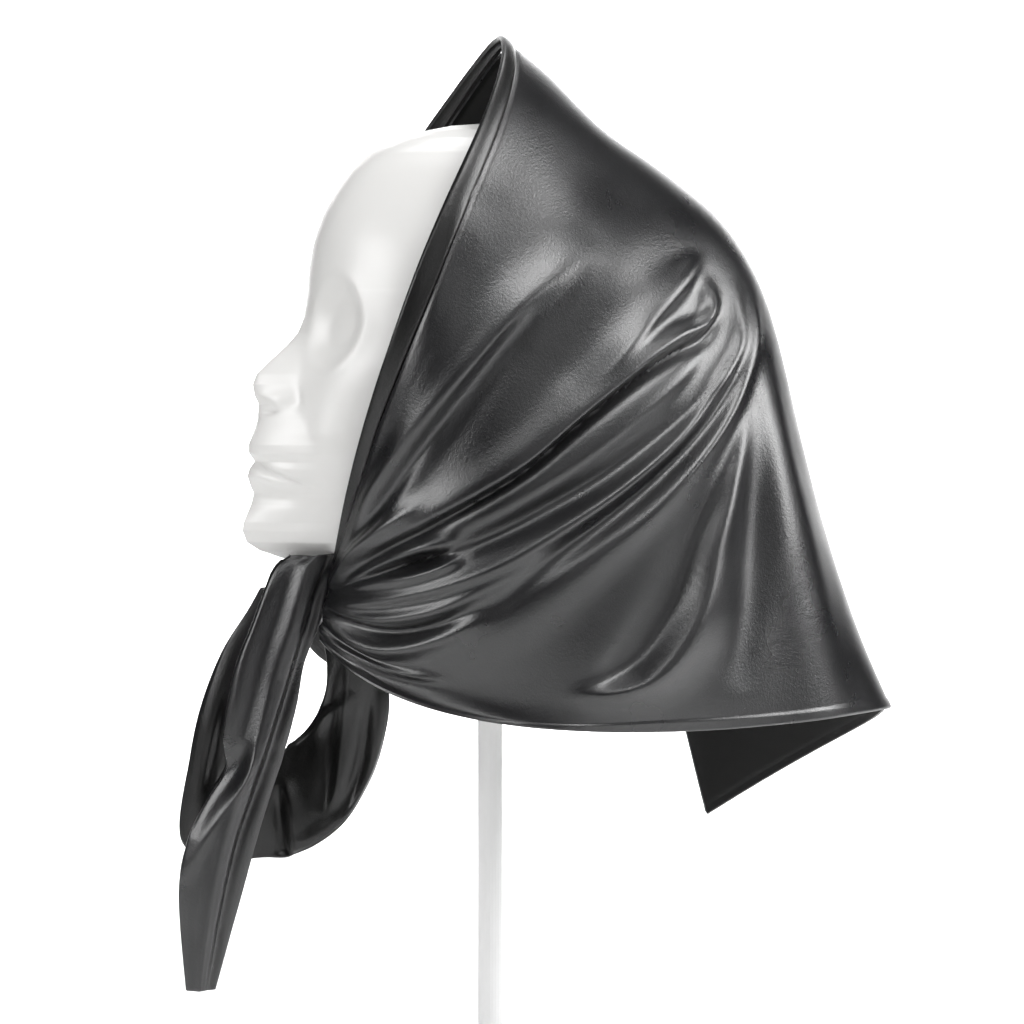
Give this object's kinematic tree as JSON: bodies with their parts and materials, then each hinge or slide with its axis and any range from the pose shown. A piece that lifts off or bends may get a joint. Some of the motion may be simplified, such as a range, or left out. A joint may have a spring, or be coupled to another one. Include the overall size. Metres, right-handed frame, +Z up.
{
  "type": "head scarf on a head form",
  "caption": "Black satin-finish triangular head scarf tied under the chin, with a hanging front end and slack loop, worn on a plain white display head with a neck, slim rod and round flat base.",
  "frame": {"origin": "middle of the flat underside of the round base", "axes": "+Z up, the face looks along -Y, +X is the wearer's left"},
  "size_m": [0.1887, 0.3565, 0.4973],
  "materials": {
    "scarf_cloth": "black faux leather with a fine grain and a satin sheen",
    "head_gloss": "smooth white gloss",
    "stand_paint": "white satin paint"
  },
  "bodies": {
    "root": {"hood": "scarf_cloth", "face_edge": "scarf_cloth", "knot": "scarf_cloth", "tail_front": "scarf_cloth", "slack_loop": "scarf_cloth", "head_form": "head_gloss", "stand_rod": "stand_paint", "stand_base": "stand_paint"}
  },
  "joints": []
}
